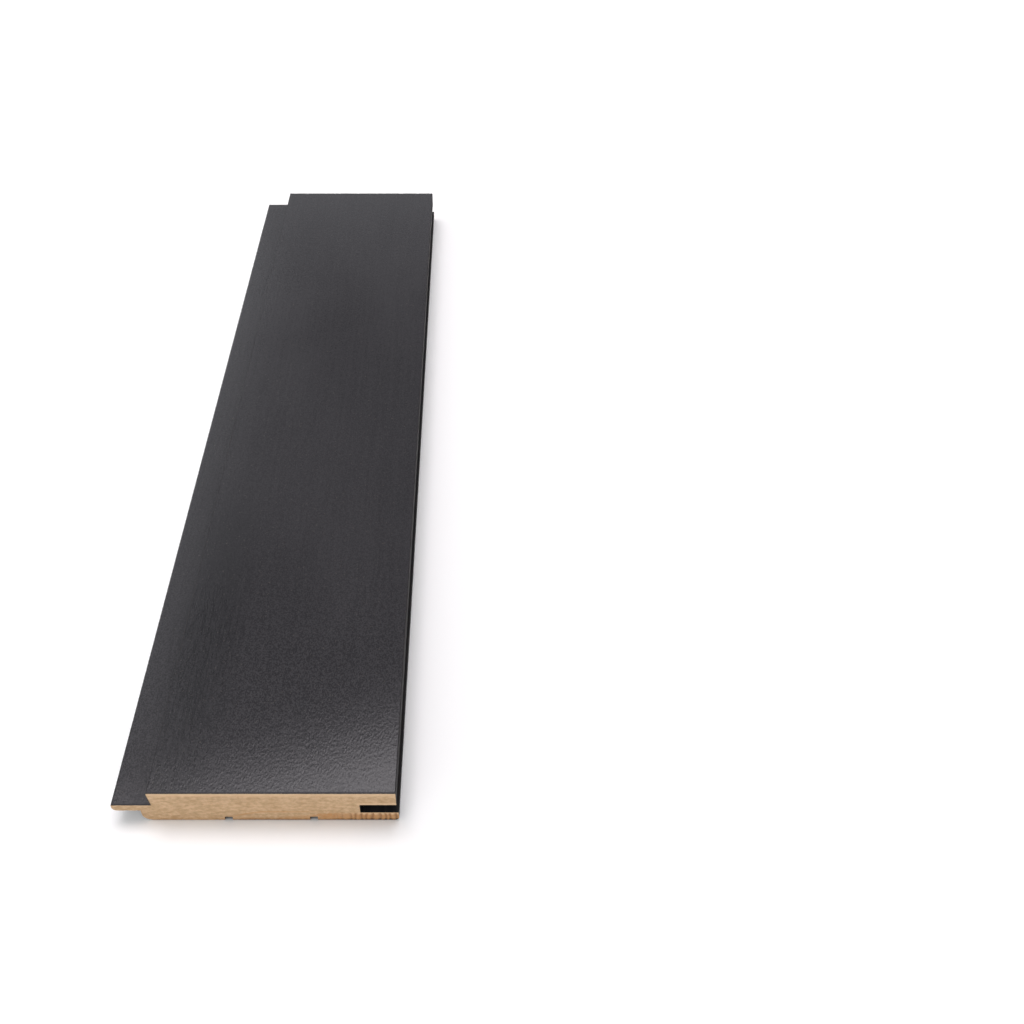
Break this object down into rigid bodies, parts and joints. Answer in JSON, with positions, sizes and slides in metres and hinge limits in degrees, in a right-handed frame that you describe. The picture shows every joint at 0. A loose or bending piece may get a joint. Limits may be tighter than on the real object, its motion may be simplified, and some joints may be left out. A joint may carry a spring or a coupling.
{
  "type": "tongue and groove board",
  "caption": "Painted solid wood board with a tongue along one long edge, a matching groove along the other, a stepped reveal beside the tongue and relief kerfs in its back.",
  "frame": {"origin": "middle of the board's overall box, on the plane of its back", "axes": "+Y along the length and the grain, +X from the tongue towards the groove, +Z from the back up to the face"},
  "size_m": [0.0926, 0.381, 0.0159],
  "materials": {
    "painted_board": "black satin paint on the face, edges, tongue, groove and back, with bare saw-cut tan wood on the two ends"
  },
  "bodies": {
    "root": {"board": "painted_board"}
  },
  "joints": []
}
